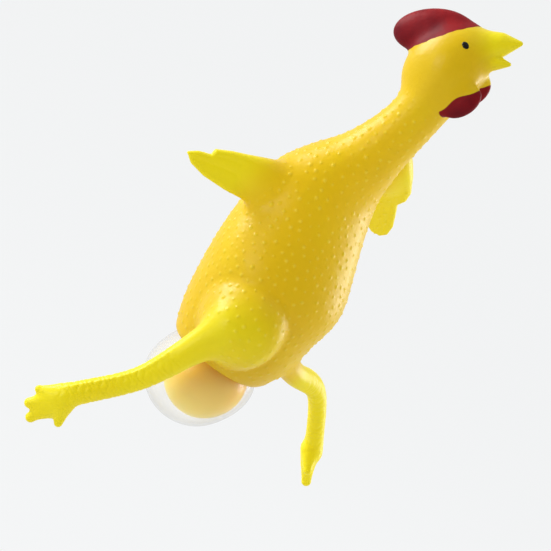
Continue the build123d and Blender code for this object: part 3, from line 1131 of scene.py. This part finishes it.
def eye(side, look):
    """A small domed oval of paint lying on the cheek."""
    low, high = (np.array(corner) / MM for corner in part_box("eye_" + side))
    middle = (low + high) / 2
    across = HEAD_FRAME[:, 1] * (1 if side == "left" else -1)
    turn = math.radians(EYE_TURN)
    long_axis = HEAD_FRAME @ (math.cos(turn), 0, math.sin(turn))
    short_axis = np.cross(across, long_axis)
    rows, out = [middle], [0.0]
    for ring in range(1, EYE_RINGS + 1):
        r = ring / EYE_RINGS
        for k in range(EYE_AROUND):
            a = 2 * math.pi * k / EYE_AROUND
            rows.append(middle + long_axis * EYE_HALF[0] * r * math.cos(a)
                        + short_axis * EYE_HALF[1] * r * math.sin(a))
            out.append(r)
    p = np.array(rows)
    p = p - across * ((p - middle) @ across)[:, None]
    for _ in range(EYE_SETTLES):
        p = p - across * skin(p)[:, None]
    dome = EYE_DOME * np.sqrt(np.maximum(1 - np.array(out) ** 2, 0)) - EYE_SINK
    p = p + across * dome[:, None]

    def at(ring, k):
        return 1 + (ring - 1) * EYE_AROUND + k % EYE_AROUND

    faces = [(0, at(1, k), at(1, k + 1)) for k in range(EYE_AROUND)]
    faces += [(at(ring, k), at(ring + 1, k), at(ring + 1, k + 1), at(ring, k + 1))
              for ring in range(1, EYE_RINGS) for k in range(EYE_AROUND)]
    obj = mesh_piece("eye_paint_" + side, p, faces, look)
    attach(obj, "head")
    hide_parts("eye_" + side)


eye_look = eye_material()
for side in SIDES:
    eye(side, eye_look)

# ---------------------------------------------------------------- egg

bubble_low, bubble_high = (np.array(corner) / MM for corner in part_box("egg_membrane"))
BUBBLE_R = (bubble_high[0] - bubble_low[0]) / 2
BUBBLE_Z = bubble_low[2] + BUBBLE_R
NECK_R = VENT_R - 0.5
BUBBLE_SAG = (-1.9, -1.3)      # how far the bubble hangs out of line with the vent at its foot
SAG_HASTE = 1.4                # over 1, the sag is complete before the foot
YOLK_SWELL = 1.03              # the yolk as seen, against the CAD's


def bubble_profile(shrink, top):
    """The bubble from its foot up to where it narrows into the vent."""
    r = BUBBLE_R - shrink
    turn = math.asin((NECK_R - shrink) / r)
    steps = np.linspace(0.004, math.pi - turn, 60)
    ball = [(r * math.sin(a), BUBBLE_Z - r * math.cos(a)) for a in steps]
    end_r, end_z = ball[-1]
    return ball + [(end_r - 0.2, end_z + 1.2), (end_r - 0.3, top)]


def sagged(bubble):
    """The bubble pulled out of line with the vent, more so the lower it hangs."""
    drop = VENT_Z - bubble_low[2]
    for vertex in bubble.data.vertices:
        below = float(ease(np.array((VENT_Z - vertex.co.z / MM) / drop * SAG_HASTE)))
        vertex.co.x += BUBBLE_SAG[0] * MM * below
        vertex.co.y += BUBBLE_SAG[1] * MM * below
    return bubble


film_look = clear_material("film", (0.50, 0.51, 0.52), 0.015, 0.50, 0.06)
film = sagged(lathe("egg_film", bubble_profile(0, VENT_Z + 3), film_look))
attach(film, "torso")
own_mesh(film)
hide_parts("egg_membrane", "fluid_sac")

white_look = clear_material("white", (0.88, 0.84, 0.70), 0.09, 0.13, 0.25)
white = sagged(lathe("egg_white_body", bubble_profile(0.9, VENT_Z + 2), white_look))
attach(white, "torso")
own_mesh(white)
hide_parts("egg_white")


def yolk_profile(radius, height):
    """A ball with a slight, soft unevenness."""
    for a in np.linspace(0.004, math.pi - 0.004, 64):
        r = radius * (1 + 0.006 * math.sin(3 * a + 1) + 0.004 * math.sin(5 * a))
        yield r * math.sin(a), height - r * math.cos(a)


yolk_low, yolk_high = (np.array(corner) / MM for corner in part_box("yolk"))
yolk_at = (yolk_low + yolk_high) / 2
yolk_r = (yolk_high[0] - yolk_low[0]) / 2 * YOLK_SWELL
yolk = lathe("yolk_ball", list(yolk_profile(yolk_r, yolk_at[2])), yolk_material(), centre=yolk_at[:2])
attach(yolk, "egg")
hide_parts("yolk")

# ---------------------------------------------------------------- stage and light

STAGE_DROP, STAGE_FLAT, STAGE_WIDE, STAGE_HIGH = 0.22, 0.9, 3.2, 3.6


def make_stage():
    """A pale floor that curves up into a wall all round."""
    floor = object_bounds()[0].z - STAGE_DROP
    bend = STAGE_WIDE - STAGE_FLAT
    curve = [(STAGE_FLAT + bend * math.sin(a), floor + bend * (1 - math.cos(a)))
             for a in np.linspace(0, math.pi / 2, 24)]
    profile = [(0.001, floor), (STAGE_FLAT * 0.5, floor), *curve, (STAGE_WIDE, floor + STAGE_HIGH)]
    stage = lathe("stage", [(r / MM, z / MM) for r, z in profile], stage_material(), around=128)


# Right, up and towards the camera of the object, then the light's distance, size and power.
LIGHTS = {
    "key": ((-0.7, 0.9, -0.15), 1.0, 0.6, 10),
    "rim_right": ((0.95, -0.15, -0.6), 1.0, 0.7, 6),
    "front_fill": ((-0.8, 0.35, 0.8), 1.6, 0.6, 5),
}
LIGHTS_AIM = Vector((0, 0, 0.01))


def area_light(name, direction, distance, size, power):
    data = bpy.data.lights.new(name, "AREA")
    data.shape, data.size, data.energy = "DISK", size, power
    light = bpy.data.objects.new(name, data)
    bpy.context.scene.collection.objects.link(light)
    away = sum((share * way for share, way in zip(direction, rolled_axes())), Vector())
    at = LIGHTS_AIM + away.normalized() * distance
    facing = (at - LIGHTS_AIM).to_track_quat("Z", "Y").to_matrix().to_4x4()
    light.matrix_world = Matrix.Translation(at) @ facing


make_stage()
for name, values in LIGHTS.items():
    area_light(name, *values)

world = bpy.data.worlds.new("world")
world.use_nodes = True
sky = world.node_tree.nodes["Background"]
sky.inputs["Color"].default_value = (0.85, 0.86, 0.87, 1)
sky.inputs["Strength"].default_value = 1.0
bpy.context.scene.world = world
bpy.context.scene.view_settings.view_transform = "Standard"
